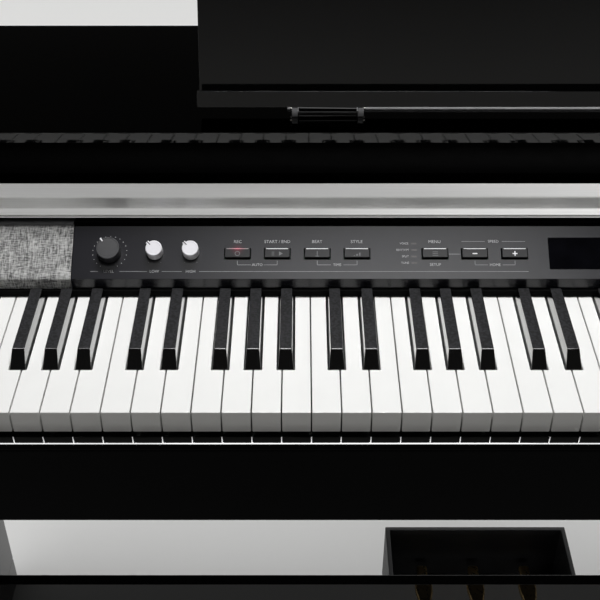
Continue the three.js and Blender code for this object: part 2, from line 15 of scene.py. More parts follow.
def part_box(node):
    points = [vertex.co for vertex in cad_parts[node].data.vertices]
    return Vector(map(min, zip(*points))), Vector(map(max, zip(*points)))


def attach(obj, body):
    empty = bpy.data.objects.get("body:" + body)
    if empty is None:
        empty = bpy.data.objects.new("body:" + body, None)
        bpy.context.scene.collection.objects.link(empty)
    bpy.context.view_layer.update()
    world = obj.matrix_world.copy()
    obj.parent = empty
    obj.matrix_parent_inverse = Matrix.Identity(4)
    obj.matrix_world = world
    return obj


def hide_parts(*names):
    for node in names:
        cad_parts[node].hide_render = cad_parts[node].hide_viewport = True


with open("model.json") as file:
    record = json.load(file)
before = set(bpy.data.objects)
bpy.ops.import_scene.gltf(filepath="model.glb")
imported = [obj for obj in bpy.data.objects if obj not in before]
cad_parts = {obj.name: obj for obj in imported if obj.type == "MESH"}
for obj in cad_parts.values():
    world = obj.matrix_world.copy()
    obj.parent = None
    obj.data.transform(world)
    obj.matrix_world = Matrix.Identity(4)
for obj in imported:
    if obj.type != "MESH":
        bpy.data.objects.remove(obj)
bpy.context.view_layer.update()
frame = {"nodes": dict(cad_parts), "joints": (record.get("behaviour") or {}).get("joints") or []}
MM = 0.001


# ---------------- places, all taken from the frame

low_c, high_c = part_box("white_key_c")
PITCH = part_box("white_key_d")[0].x - low_c.x
KEY_SLOT = PITCH - (high_c.x - low_c.x)
KEY_FRONT = low_c.y
KEY_TOP = high_c.z
KEY_BACK = high_c.y
KEY_LOW = low_c.z
WHITE_COUNT = 52
OCTAVE_START = 16
OCTAVE_WHITES = 7
KEYS_LEFT = low_c.x - KEY_SLOT / 2 - OCTAVE_START * PITCH

panel_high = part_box("control_panel")[1]
PANEL_SLOPE = math.radians(33)
PANEL_LENGTH = 48.5 * MM       # of the sloping face, down its slope
PANEL_STEP = 15 * MM           # depth of the low step behind the face's upper edge
PANEL_STEP_RISE = 4.8 * MM
PANEL_ORIGIN = (0, panel_high.y - PANEL_STEP, panel_high.z - PANEL_STEP_RISE)
FACE = Matrix.Translation(PANEL_ORIGIN) @ Matrix.Rotation(PANEL_SLOPE, 4, "X")
BUTTON_W = 22.2
BUTTON_TOP = 20.3              # a button's upper and lower edges, measured down the face
BUTTON_LOW = 29.1
BUTTON_PROUD = 2.2
BUTTON_DEEP = 3.3
LAMP_DOWN = 0.7                # middle of a button's light bar, below the button's upper edge
GRILLE_SUNK = 0.7 * MM         # the grilles' frames lie this much deeper than the panel


def at(y, z):
    """A point of the side view, given in millimetres behind and above the white keys' top front edge."""
    return (KEY_FRONT + y * MM, KEY_TOP + z * MM)


# ---------------- node materials

def add_node(tree, kind, inputs=None, **settings):
    node = tree.nodes.new(kind)
    for key, value in settings.items():
        setattr(node, key, value)
    for key, value in (inputs or {}).items():
        node.inputs[key].default_value = value
    return node


def start_material(name, **sockets):
    """A new material, its tree, its shader and its object coordinates."""
    made = bpy.data.materials.new(name)
    made.use_nodes = True
    tree = made.node_tree
    shader = tree.nodes["Principled BSDF"]
    for key, value in sockets.items():
        shader.inputs[key.replace("_", " ")].default_value = value
    where = add_node(tree, "ShaderNodeTexCoord").outputs["Object"]
    return made, tree, shader, where


def feed(shader, socket, output):
    """Links an output to an input of the shader."""
    shader.id_data.links.new(output, shader.inputs[socket])


def mapped(tree, where, scale=(1, 1, 1), turn=(0, 0, 0)):
    node = add_node(tree, "ShaderNodeMapping", {"Scale": scale, "Rotation": turn})
    tree.links.new(where, node.inputs["Vector"])
    return node.outputs["Vector"]


def noise(tree, where, scale, detail=3.0):
    node = add_node(tree, "ShaderNodeTexNoise", {"Scale": scale, "Detail": detail, "Roughness": 0.55})
    tree.links.new(where, node.inputs["Vector"])
    return node.outputs["Fac"]


def ranged(tree, value, low, high, start=0.3, end=0.7):
    """value from start..end carried to low..high."""
    node = add_node(tree, "ShaderNodeMapRange",
                    {"From Min": start, "From Max": end, "To Min": low, "To Max": high})
    tree.links.new(value, node.inputs["Value"])
    return node.outputs["Result"]


def mix(tree, factor, dark, light):
    """dark where the factor is 0, light where it is 1. Either is a colour or another node's output."""
    node = add_node(tree, "ShaderNodeMix", data_type="RGBA")
    for index, value in ((6, dark), (7, light)):
        if isinstance(value, tuple):
            node.inputs[index].default_value = (*value, 1)
        else:
            tree.links.new(value, node.inputs[index])
    tree.links.new(factor, node.inputs[0])
    return node.outputs[2]


def calc(tree, operation, a, b):
    """A sum or a product of two numbers or outputs."""
    node = add_node(tree, "ShaderNodeMath", operation=operation)
    for index, value in ((0, a), (1, b)):
        if isinstance(value, (int, float)):
            node.inputs[index].default_value = value
        else:
            tree.links.new(value, node.inputs[index])
    return node.outputs[0]


def bumped(tree, shader, height, distance):
    node = add_node(tree, "ShaderNodeBump", {"Distance": distance, "Strength": 1.0})
    tree.links.new(height, node.inputs["Height"])
    feed(shader, "Normal", node.outputs["Normal"])


def shade(color, factor):
    return tuple(min(1.0, c * factor) for c in color)


def surface(name, color, roughness, vary=0.08, rough_vary=0.04, patch=25, grain=0.0, grain_scale=2500,
            **sockets):
    """A finish with soft patches of colour and roughness, and a fine grain that is grain metres high."""
    made, tree, shader, where = start_material(name, **sockets)
    patches = ranged(tree, noise(tree, where, patch), 0, 1)
    feed(shader, "Base Color", mix(tree, patches, shade(color, 1 - vary), shade(color, 1 + vary)))
    streaks = noise(tree, where, patch * 3.7, 5)
    smoothest = max(0.0, roughness - rough_vary)
    feed(shader, "Roughness", ranged(tree, streaks, smoothest, roughness + rough_vary))
    if grain:
        bumped(tree, shader, noise(tree, where, grain_scale, 2), grain)
    return made


def part_of(tree, vector, axis):
    """One axis of a vector."""
    split = add_node(tree, "ShaderNodeSeparateXYZ")
    tree.links.new(vector, split.inputs[0])
    return split.outputs[axis]


def upward(tree):
    """1 where a surface faces up, 0 where it stands upright."""
    return part_of(tree, add_node(tree, "ShaderNodeNewGeometry").outputs["Normal"], "Z")


def black_key_material():
    """Satin and grained on top, polished on the sides."""
    made, tree, shader, where = start_material("black_key_plastic", IOR=1.9, Coat_IOR=2.1,
                                               Coat_Roughness=0.06)
    top = ranged(tree, upward(tree), 0, 1, 0.8, 0.97)
    specks = ranged(tree, noise(tree, where, 420, 4), 0, 1, 0.42, 0.58)
    grain = mix(tree, specks, (0.001, 0.001, 0.0014), (0.014, 0.014, 0.0165))
    feed(shader, "Base Color", mix(tree, top, (0.002, 0.002, 0.002), grain))
    feed(shader, "Roughness", ranged(tree, top, 0.08, 0.5, 0, 1))
    feed(shader, "Coat Weight", ranged(tree, top, 1, 0, 0, 1))
    feed(shader, "Specular IOR Level", ranged(tree, top, 0.5, 0.09, 0, 1))
    bumped(tree, shader, noise(tree, where, 1800, 2), 0.015 * MM)
    return made


def record_lamp():
    """Middle of the record lamp."""
    low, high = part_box("record_button")
    x = (low.x + high.x) / 2
    return FACE @ Vector((x, -(BUTTON_TOP + LAMP_DOWN) * MM, BUTTON_PROUD * MM))


def near_lamp(tree, reach):
    """1 at the middle of the record lamp, falling to 0 at reach millimetres from it."""
    away = add_node(tree, "ShaderNodeVectorMath", operation="DISTANCE")
    tree.links.new(add_node(tree, "ShaderNodeNewGeometry").outputs["Position"], away.inputs[0])
    away.inputs[1].default_value = record_lamp()
    near = ranged(tree, away.outputs["Value"], 1, 0, 0, reach * MM)
    return calc(tree, "MULTIPLY", near, near)


def red_halo(tree, shader):
    """Painted glow: the red lamp's light, painted as red emission on what lies around it."""
    glow = mix(tree, near_lamp(tree, 8), (0, 0, 0), (0.12, 0.006, 0.02))
    feed(shader, "Emission Color", glow)
    shader.inputs["Emission Strength"].default_value = 1.0


def panel_material():
    """Satin charcoal on the sloping face, smoother on the low front, and painted shade on the step behind:
    black, without reflection.
    """
    made, tree, shader, where = start_material("panel_plastic", IOR=1.5)
    edge = PANEL_ORIGIN[1] + 0.9 * MM
    back = part_of(tree, add_node(tree, "ShaderNodeNewGeometry").outputs["Position"], "Y")
    # painted shade: where step is 1, the step behind the face is painted black without reflection, as if
    # shaded by the cover's handle
    step = ranged(tree, back, 0, 1, edge, edge + 0.2 * MM)
    patches = noise(tree, where, 14, 3)
    tone = mix(tree, ranged(tree, patches, 0, 1), (0.0095, 0.0095, 0.0125), (0.012, 0.012, 0.016))
    feed(shader, "Base Color", mix(tree, step, tone, (0.002, 0.002, 0.002)))
    feed(shader, "Specular IOR Level", ranged(tree, step, 0.5, 0.0, 0, 1))
    face = ranged(tree, upward(tree), 0, 1, 0.2, 0.7)
    feed(shader, "Roughness", ranged(tree, face, 0.24, 0.30, 0, 1))
    bumped(tree, shader, noise(tree, where, 2600, 2), 0.015 * MM)
    # painted glow of the red record lamp on the panel
    red_halo(tree, shader)
    return made


def slip_material():
    """Black lacquer that is glossy on top; in front its reflection is turned down, painted shade that keeps
    the front dark.
    """
    made = surface("slip_lacquer", (0.0015, 0.0015, 0.0016), 0.04, vary=0.2, rough_vary=0.02, patch=9,
                   grain=0.001 * MM, grain_scale=350, IOR=1.45)
    tree = made.node_tree
    # painted shade: the specular level falls from the top to the front, so the front reflects almost nothing
    gloss = ranged(tree, upward(tree), 0.02, 0.5, 0.4, 0.8)
    feed(tree.nodes["Principled BSDF"], "Specular IOR Level", gloss)
    return made


def linen_material():
    """Heather linen: threads both ways, thick and thin stretches, and a fine weave in the bump."""
    made, tree, shader, where = start_material("grille_linen", Roughness=0.92, Sheen_Weight=0.25)
    flat = mapped(tree, where, turn=(-PANEL_SLOPE, 0, 0))
    along = noise(tree, mapped(tree, flat, (160, 1250, 1250)), 1, 3)
    across = noise(tree, mapped(tree, flat, (1250, 160, 160)), 1, 3)
    cloud = noise(tree, flat, 90, 3)
    threads = calc(tree, "ADD", calc(tree, "MULTIPLY", along, 0.5), calc(tree, "MULTIPLY", across, 0.5))
    tone = calc(tree, "ADD", calc(tree, "MULTIPLY", threads, 0.8), calc(tree, "MULTIPLY", cloud, 0.2))
    heather = mix(tree, ranged(tree, tone, 0, 1, 0.41, 0.59), (0.075, 0.075, 0.074), (0.65, 0.65, 0.64))
    feed(shader, "Base Color", heather)
    weave = []
    for direction in ("X", "Y"):
        wave = add_node(tree, "ShaderNodeTexWave", {"Scale": 420, "Distortion": 1.2, "Detail": 1},
                        bands_direction=direction)
        tree.links.new(flat, wave.inputs["Vector"])
        weave.append(wave.outputs["Fac"])
    height = calc(tree, "ADD", calc(tree, "MULTIPLY", weave[0], weave[1]), tone)
    bumped(tree, shader, height, 0.22 * MM)
    return made


def brushed_material():
    """Aluminium brushed along the piano's length."""
    made, tree, shader, where = start_material("brushed_aluminium", Metallic=1.0)
    hair = noise(tree, mapped(tree, where, (9, 3200, 3200)), 1, 4)
    cloud = noise(tree, mapped(tree, where, (2, 40, 40)), 3, 2)
    tone = calc(tree, "ADD", calc(tree, "MULTIPLY", hair, 0.7), calc(tree, "MULTIPLY", cloud, 0.3))
    metal = mix(tree, ranged(tree, tone, 0, 1, 0.4, 0.6), (0.635, 0.635, 0.628), (0.69, 0.69, 0.683))
    feed(shader, "Base Color", metal)
    feed(shader, "Roughness", ranged(tree, hair, 0.36, 0.41, 0.35, 0.65))
    bumped(tree, shader, hair, 0.0006 * MM)
    return made


def lamp_material():
    """A clear light bar, lit red in the middle."""
    made, tree, shader, where = start_material("lamp_red", Roughness=0.4, Emission_Strength=1.0)
    glow = mix(tree, near_lamp(tree, 11), (0, 0, 0), (0.62, 0.03, 0.10))
    feed(shader, "Emission Color", glow)
    cloudy = ranged(tree, noise(tree, where, 400, 2), 0, 1)
    feed(shader, "Base Color", mix(tree, cloudy, (0.20, 0.20, 0.20), (0.26, 0.26, 0.26)))
    return made


def painted_glint_white():
    """Painted glint: white that glows slightly of itself, standing in for light."""
    made = surface("painted_glint_white", (0.60, 0.60, 0.60), 0.5, vary=0.05, patch=300, Emission_Strength=0.3)
    made.node_tree.nodes["Principled BSDF"].inputs["Emission Color"].default_value = (1, 1, 1, 1)
    return made


def record_cap():
    """The button cap's finish with the red lamp's light painted on it as glow."""
    made = BUTTON_CAP.copy()
    red_halo(made.node_tree, made.node_tree.nodes["Principled BSDF"])
    return made


LACQUER = surface("black_lacquer", (0.0015, 0.0015, 0.0016), 0.045, vary=0.2, rough_vary=0.02, patch=9,
                  grain=0.003 * MM, grain_scale=350, IOR=1.47)
SLIP_LACQUER = slip_material()
FOIL = surface("satin_black_foil", (0.012, 0.012, 0.013), 0.42, vary=0.15, grain=0.03 * MM, grain_scale=1400)
WHITE_KEY = surface("white_key_plastic", (0.86, 0.86, 0.845), 0.2, vary=0.012, rough_vary=0.05, patch=30,
                    grain=0.004 * MM, grain_scale=600, IOR=1.48)
# painted glints on the key slip, white and slightly glowing
GLINT_PAINT = painted_glint_white()
BLACK_KEY = black_key_material()
PANEL = panel_material()
LINEN = linen_material()
BRUSHED = brushed_material()
DARK_PLASTIC = surface("dark_plastic", (0.022, 0.022, 0.025), 0.4, vary=0.12, patch=60, grain=0.02 * MM)
BUTTON_CAP = surface("button_cap", (0.0095, 0.0095, 0.011), 0.38, vary=0.12, patch=200, grain=0.01 * MM)
RECORD_CAP = record_cap()
KNOB_BLACK = surface("knob_black", (0.027, 0.027, 0.030), 0.36, vary=0.1, patch=200, grain=0.01 * MM)
KNOB_WHITE = surface("knob_white", (0.82, 0.81, 0.85), 0.3, vary=0.02, patch=200, grain=0.006 * MM)
MOULDED = surface("moulded_black", (0.016, 0.016, 0.017), 0.5, vary=0.15, patch=40, grain=0.06 * MM,
                  grain_scale=1500)
INK = surface("printed_ink", (0.40, 0.40, 0.41), 0.5, vary=0.1, patch=700)
INK_BRIGHT = surface("printed_ink_bright", (0.80, 0.80, 0.82), 0.45, vary=0.05, patch=700)
INK_LINE = surface("printed_ink_line", (0.24, 0.24, 0.25), 0.5, vary=0.1, patch=700)
INK_FAINT = surface("printed_ink_faint", (0.12, 0.12, 0.125), 0.5, vary=0.15, patch=700)
GLASS = surface("display_glass", (0.002, 0.002, 0.003), 0.06, vary=0.3, rough_vary=0.02, patch=50, IOR=1.5)
LAMP_OFF = surface("lamp_off", (0.035, 0.03, 0.03), 0.3, vary=0.2, patch=600)
LAMP_RED = lamp_material()
BRASS = surface("polished_brass", (0.86, 0.62, 0.29), 0.30, vary=0.06, rough_vary=0.07, patch=45,
                grain=0.004 * MM, grain_scale=900, Metallic=1.0)
STEEL = surface("zinc_steel", (0.42, 0.42, 0.43), 0.34, vary=0.12, patch=80, Metallic=1.0)
NICKEL = surface("nickel", (0.62, 0.60, 0.56), 0.2, vary=0.08, patch=120, Metallic=1.0)
BOARD = surface("solder_mask", (0.02, 0.13, 0.055), 0.35, vary=0.2, patch=120, grain=0.02 * MM)
PAPER = surface("cone_paper", (0.02, 0.02, 0.02), 0.8, vary=0.3, patch=120, grain=0.1 * MM, grain_scale=700)
RUBBER = surface("black_rubber", (0.018, 0.018, 0.018), 0.7, vary=0.15, patch=60, grain=0.03 * MM)
FELT = surface("black_felt", (0.004, 0.004, 0.004), 0.95, vary=0.25, patch=300, grain=0.1 * MM,
               grain_scale=900, Specular_IOR_Level=0.1)
FLOOR_PAINT = surface("floor_paint", (0.80, 0.80, 0.79), 0.75, vary=0.01, patch=2)


# ---------------- mesh helpers

def lay_x(u, v, w):
    """A side-view outline swept along the piano."""
    return (w, u, v)


def lay_up(u, v, w):
    """A plan swept upwards."""
    return (u, v, w)


def arc(cx, cy, r, start, end, steps):
    """Points of an arc, angles in degrees."""
    angles = (math.radians(start + (end - start) * i / steps) for i in range(steps + 1))
    return [(cx + r * math.cos(a), cy + r * math.sin(a)) for a in angles]


def prism(mesh, outline, a, b, lay):
    """Adds an outline swept from a to b to a bmesh."""
    rings = [[mesh.verts.new(lay(u, v, w)) for u, v in outline] for w in (a, b)]
    mesh.faces.new(rings[0][::-1])
    mesh.faces.new(rings[1])
    count = len(outline)
    for i in range(count):
        j = (i + 1) % count
        mesh.faces.new((rings[0][i], rings[0][j], rings[1][j], rings[1][i]))


def block(mesh, x0, x1, y0, y1, z0, z1):
    prism(mesh, [(x0, y0), (x1, y0), (x1, y1), (x0, y1)], z0, z1, lay_up)


def loft(mesh, rings):
    """Adds a closed body through rings of points, with flat ends."""
    made = [[mesh.verts.new(p) for p in ring] for ring in rings]
    mesh.faces.new(made[0][::-1])
    mesh.faces.new(made[-1])
    count = len(made[0])
    for below, above in zip(made, made[1:]):
        for i in range(count):
            j = (i + 1) % count
            mesh.faces.new((below[i], below[j], above[j], above[i]))


def circle(centre, r, z, steps):
    """Points of a level circle."""
    angles = (2 * math.pi * i / steps for i in range(steps))
    return [(centre[0] + r * math.cos(a), centre[1] + r * math.sin(a), z) for a in angles]


def turned(mesh, profile, steps=48, centre=(0, 0)):
    """Adds a body turned about an upright axis: profile is radius and height, from bottom to top."""
    loft(mesh, [circle(centre, r, z, steps) for r, z in profile])


def annulus(mesh, centre, outer, inner, z0, z1):
    """Adds a flat ring."""
    steps = 32
    corners = ((inner, z0), (outer, z0), (outer, z1), (inner, z1))
    rings = [[mesh.verts.new(p) for p in circle(centre, r, z, steps)] for r, z in corners]
    for here, there in zip(rings, rings[1:] + rings[:1]):
        for i in range(steps):
            j = (i + 1) % steps
            mesh.faces.new((here[i], here[j], there[j], there[i]))


def mesh_data(name, mesh, material):
    bmesh.ops.recalc_face_normals(mesh, faces=mesh.faces)
    data = bpy.data.meshes.new(name)
    mesh.to_mesh(data)
    mesh.free()
    data.materials.append(material)
    return data


def add_object(name, data):
    made = bpy.data.objects.new(name, data)
    bpy.context.scene.collection.objects.link(made)
    return made


def new_piece(name, mesh, material, body, replaces=(), place=None, bevel=0.0, segments=3, smooth=True):
    """Makes a piece of a bmesh. bevel is in millimetres."""
    if place is not None:
        bmesh.ops.transform(mesh, matrix=place, verts=mesh.verts)
    data = mesh_data(name, mesh, material)
    piece = add_object(name, data)
    if smooth:
        data.shade_smooth()
    if bevel:
        soften(piece, bevel, segments)
    elif smooth:
        data.set_sharp_from_angle(angle=math.radians(40))
    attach(piece, body)
    if replaces:
        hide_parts(*replaces)
    return piece


def soften(piece, width, segments=3):
    """Rounds a piece's edges and keeps its flat faces flat to look at."""
    round_off = piece.modifiers.new("edges", "BEVEL")
    round_off.width = width * MM
    round_off.segments = segments
    round_off.limit_method = "ANGLE"
    round_off.angle_limit = math.radians(28)
    round_off.miter_outer = "MITER_ARC"
    piece.modifiers.new("normals", "WEIGHTED_NORMAL").keep_sharp = True


def dress(node, material, bevel=0.0):
    """Gives a carried-over CAD node its finish and rounded edges."""
    piece = frame["nodes"][node]
    if piece.material_slots:
        piece.material_slots[0].material = material
    else:
        piece.data.materials.append(material)
    if bevel:
        piece.data.shade_smooth()
        weld = piece.modifiers.new("weld", "WELD")
        weld.merge_threshold = 0.01 * MM
        soften(piece, bevel)


# ---------------- camera, light and floor

# The camera stands in front of the low half of the keyboard and looks down on it.
CAMERA = {"x": -0.244, "before_keys": 0.626, "above_keys": 0.600, "down": 38.0, "lens": 66.72}


def make_camera():
    data = bpy.data.cameras.new("camera")
    data.lens = CAMERA["lens"]
    data.sensor_width = 36
    camera = add_object("camera", data)
    camera.location = (CAMERA["x"], KEY_FRONT - CAMERA["before_keys"], KEY_TOP + CAMERA["above_keys"])
    camera.rotation_euler = (math.radians(90 - CAMERA["down"]), 0, 0)
    bpy.context.scene.camera = camera


LIGHT_RULES = []               # for link_lights: a light, and its only, never and shadows


def softbox(name, place, aim, size, radiance, diffuse=True, glossy=True, only=(), never=(), shadows=()):
    """A rectangular light of a given radiance, kept to or from some materials or named pieces.

    shadows names the only materials that throw shadows in it.
    """
    data = bpy.data.lights.new(name, "AREA")
    data.shape = "RECTANGLE"
    data.size, data.size_y = size
    data.energy = radiance * math.pi * size[0] * size[1]
    light = add_object(name, data)
    light.location = place
    light.rotation_euler = (Vector(aim) - Vector(place)).to_track_quat("-Z", "Y").to_euler()
    light.visible_camera = False
    light.visible_diffuse = diffuse
    light.visible_glossy = glossy
    if only or never:
        LIGHT_RULES.append((light, only, never, shadows))


def link_lights():
    """Keeps each ruled light to its pieces. Called when all pieces are made."""
    pieces = [o for o in bpy.context.scene.objects if o.type == "MESH"]
    for light, only, never, shadows in LIGHT_RULES:
        receivers = bpy.data.collections.new(f"lit by {light.name}")
        blockers = bpy.data.collections.new(f"shadows of {light.name}")
        for piece in pieces:
            marks = {slot.material for slot in piece.material_slots} | {piece.name}
            if marks.isdisjoint(never) and not (only and marks.isdisjoint(only)):
                receivers.objects.link(piece)
            if not marks.isdisjoint(shadows):
                blockers.objects.link(piece)
        light.light_linking.receiver_collection = receivers
        if shadows:
            light.light_linking.blocker_collection = blockers


def make_floor():
    mesh = bmesh.new()
    block(mesh, -9, 9, -9, 9, -0.02, 0)
    floor = add_object("floor", mesh_data("floor", mesh, FLOOR_PAINT))
    floor.visible_diffuse = False      # the even light of the world comes from below instead


def make_world():
    """An even room, brightest from the horizon to a little above it."""
    world = bpy.data.worlds.new("studio")
    world.use_nodes = True
    bpy.context.scene.world = world
    tree = world.node_tree
    up = part_of(tree, add_node(tree, "ShaderNodeTexCoord").outputs["Generated"], "Z")
    ramp = add_node(tree, "ShaderNodeValToRGB")
    stops = ((0.0, 0.22), (0.02, 0.30), (0.22, 0.30), (0.36, 0.02), (1.0, 0.01))
    points = ramp.color_ramp.elements
    while len(points) < len(stops):
        points.new(0.5)
    for point, (position, tone) in zip(points, stops):
        point.position = position
        point.color = (tone, tone * 0.985, tone * 0.95, 1)
    tree.links.new(ranged(tree, up, 0, 1, 0.0, 1.0), ramp.inputs["Fac"])
    tree.links.new(ramp.outputs["Color"], tree.nodes["Background"].inputs["Color"])


def make_key_lights():
    """The main light above the keys.

    The panel has it without its reflection, and the black keys have another reflection from further left.
    """
    above, keys, size, strength = (-0.12, 0.28, 2.55), (-0.05, 0.0, 0.8), (0.9, 0.3), 47.0
    caps = [BUTTON_CAP, RECORD_CAP]
    softbox("key", above, keys, size, strength,
            never=[FLOOR_PAINT, BRUSHED, PANEL, *caps, "top_board_panel"])
    softbox("panel wash", above, keys, size, strength, glossy=False, only=[PANEL, *caps])
    softbox("key edges", (-0.92, 0.28, 2.55), (-0.4, 0.0, 0.8), (0.7, 0.3), 22.0, diffuse=False,
            only=[BLACK_KEY])


def make_room_lights():
    """Light for the floor, lights that only show as reflections, and fills around the stand."""
    softbox("ground", (0.0, 0.0, 4.0), (0.0, 0.0, 0.0), (14.0, 14.0), 1.15, glossy=False, only=[FLOOR_PAINT])
    softbox("overhead", (-0.03, -0.61, 2.4), (-0.1, -0.02, 0.75), (0.84, 0.36), 8.3, diffuse=False,
            never=[BRUSHED, GLASS, FLOOR_PAINT, LACQUER, SLIP_LACQUER])
    for name, place, aim, size, radiance in (
            ("metal front", (-0.2, -2.6, 1.95), (-0.2, 0.0, 0.8), (6.0, 1.8), 0.52),
            ("metal top", (-0.2, -0.75, 3.2), (-0.2, 0.0, 0.8), (6.0, 2.2), 0.78),
            ("metal right", (1.6, -1.3, 3.7), (1.2, 0.0, 0.8), (2.4, 6.4), 1.1)):
        softbox(name, place, aim, size, radiance, diffuse=False, only=[BRUSHED])
    softbox("sheen", (0.0, 0.75, 2.6), (0.0, 0.0, 0.8), (3.6, 2.0), 27, diffuse=False, only=[SLIP_LACQUER],
            shadows=[WHITE_KEY, BLACK_KEY])
    stand = [LACQUER, FOIL, MOULDED, RUBBER, BRASS, STEEL, NICKEL]
    near_keys = ["top_board_panel", "key_cover_board"]
    for name, place, size, radiance in (("fill back", (0.9, 3.0, 1.3), (2.6, 1.6), 2.4),
                                        ("fill left", (-3.2, -0.4, 1.2), (2.0, 1.8), 2.6),
                                        ("fill right", (3.2, -0.4, 1.2), (2.0, 1.8), 2.6),
                                        ("fill front", (0.6, -3.4, 0.7), (2.6, 1.2), 2.6)):
        softbox(name, place, (0.0, 0.0, 0.5), size, radiance, only=stand, never=near_keys)


# ---------------- keys

LETTERS = "cdefgab"
LOWEST = 5                     # the lowest white key is an A
WHITE_HEAD = 50                # length of the full width part in front of the black keys
BLACK_HALF = 6.4               # half the room that a black key takes between the white ones
BLACK_BOTTOM = -12             # heights of a black key's cap from the white keys' top: its bottom,
BLACK_FOOT = -1                # where it starts to narrow,
BLACK_TOP = 12                 # and its top
LEVER_HALF = 5.7               # half the width of the lever behind the cap
LEVER_FRONT = 142
LEVER_BOTTOM = -17


def black_offsets():
    """How far each black key's centre lies right of the gap that it straddles, by its white key's letter."""
    found = {}
    for n, letter in enumerate(LETTERS):
        node = f"black_key_{letter}_sharp"
        if node in frame["nodes"]:
            low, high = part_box(node)
            found[letter] = (low.x + high.x) / 2 - (low_c.x - KEY_SLOT / 2 + (n + 1) * PITCH)
    return found


BLACK_OFFSETS = black_offsets()


def letter_of(i):
    return LETTERS[(i + LOWEST) % len(LETTERS)]


def white_x(i):
    return KEYS_LEFT + i * PITCH


def black_centre(i):
    """Centre of the black key right of white key i, or None."""
    offset = BLACK_OFFSETS.get(letter_of(i))
    if offset is None or not 0 <= i < WHITE_COUNT - 1:
        return None
    return white_x(i + 1) + offset


def rides_with(i, kind, letter):
    """The body that key i rides on, and the CAD node that it stands for."""
    if i < OCTAVE_START:
        return "cabinet", f"{kind}_keys_low"
    if i >= OCTAVE_START + OCTAVE_WHITES:
        return "cabinet", f"{kind}_keys_high"
    sharp = "_sharp" if kind == "black" else ""
    return f"key_{letter}{sharp}", f"{kind}_key_{letter}{sharp}"


def white_key(i):
    """The head and the tail between the black keys."""
    x0 = white_x(i) + KEY_SLOT / 2
    x1 = white_x(i + 1) - KEY_SLOT / 2
    room = BLACK_HALF * MM + KEY_SLOT
    before, after = black_centre(i - 1), black_centre(i)
    tail0 = x0 if before is None else before + room
    tail1 = x1 if after is None else after - room
    head = KEY_FRONT + WHITE_HEAD * MM
    plan = [(x0, KEY_FRONT), (x1, KEY_FRONT)]
    if after is not None:
        plan += [(x1, head), (tail1, head)]
    plan += [(tail1, KEY_BACK), (tail0, KEY_BACK)]
    if before is not None:
        plan += [(tail0, head), (x0, head)]
    mesh = bmesh.new()
    prism(mesh, plan, KEY_LOW, KEY_TOP, lay_up)
    body, node = rides_with(i, "white", letter_of(i))
    new_piece(f"white_key_{i + 1:02d}", mesh, WHITE_KEY, body, [node], bevel=0.8)


def black_key(i, cx):
    """A body that narrows upwards, with a sloping front, and its lever behind."""
    def ring(half, y0, y1, z):
        (front, level), back = at(y0, z), at(y1, z)[0]
        return [(cx - half * MM, front, level), (cx + half * MM, front, level),
                (cx + half * MM, back, level), (cx - half * MM, back, level)]

    mesh = bmesh.new()
    loft(mesh, [ring(6.5, 50.7, 144.4, BLACK_BOTTOM), ring(6.5, 50.7, 144.4, BLACK_FOOT),
                ring(5.0, 62.6, 143.4, BLACK_TOP)])
    front, bottom = at(LEVER_FRONT, LEVER_BOTTOM)
    half = LEVER_HALF * MM
    block(mesh, cx - half, cx + half, front, KEY_BACK, bottom, at(0, BLACK_FOOT)[1])
    body, node = rides_with(i, "black", letter_of(i))
    new_piece(f"black_key_{i + 1:02d}", mesh, BLACK_KEY, body, [node], bevel=0.6)


def make_keyboard():
    for i in range(WHITE_COUNT):
        white_key(i)
        centre = black_centre(i)
        if centre is not None:
            black_key(i, centre)
    dress("key_frame", MOULDED)
    dress("contact_board", BOARD)


# ---------------- control panel

RAISE = 0.03 * MM              # height of the print
LINE = 0.42                    # width of the thin lines


class Print:
    """Collects printed lines, dots and words of one ink on the panel's face.

    Places are millimetres to the right and down the face. base is the printed surface's height, in metres.
    """

    def __init__(self):
        self.mesh = bmesh.new()

    def bar(self, x0, x1, down0, down1, base=0.0):
        """A filled rectangle."""
        block(self.mesh, x0 * MM, x1 * MM, -down1 * MM, -down0 * MM, base, base + RAISE)

    def across(self, x0, x1, down):
        """A thin line across the panel."""
        self.bar(x0, x1, down - LINE / 2, down + LINE / 2)

    def dot(self, x, down, r):
        turned(self.mesh, [(r * MM, 0), (r * MM, RAISE)], 12, (x * MM, -down * MM))

    def word(self, text, x, down, height, align="CENTER"):
        """A word in the plain built-in letters, centred on its height."""
        curve = bpy.data.curves.new("word", "FONT")
        curve.body = text
        curve.size = height * MM * 1.42
        curve.align_x = align
        curve.align_y = "CENTER"
        curve.extrude = RAISE / 2
        curve.resolution_u = 3
        holder = bpy.data.objects.new("word", curve)
        made = bpy.data.meshes.new_from_object(holder)
        made.transform(Matrix.Translation((x * MM, -down * MM, RAISE / 2)))
        self.mesh.from_mesh(made)
        bpy.data.meshes.remove(made)
        bpy.data.objects.remove(holder)
        bpy.data.curves.remove(curve)

    def finish(self, name, material, body="cabinet", slot="panel_grey"):
        return new_piece(name, self.mesh, material, body, place=FACE, smooth=False)


BUTTONS = ("record", "play", "beat", "style", "menu", "minus", "plus", "power")


def button_left(name):
    """x of a button's left edge in millimetres, without its hidden flange."""
    low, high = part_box(f"{name}_button")
    return (low.x + high.x) / 2 / MM - BUTTON_W / 2


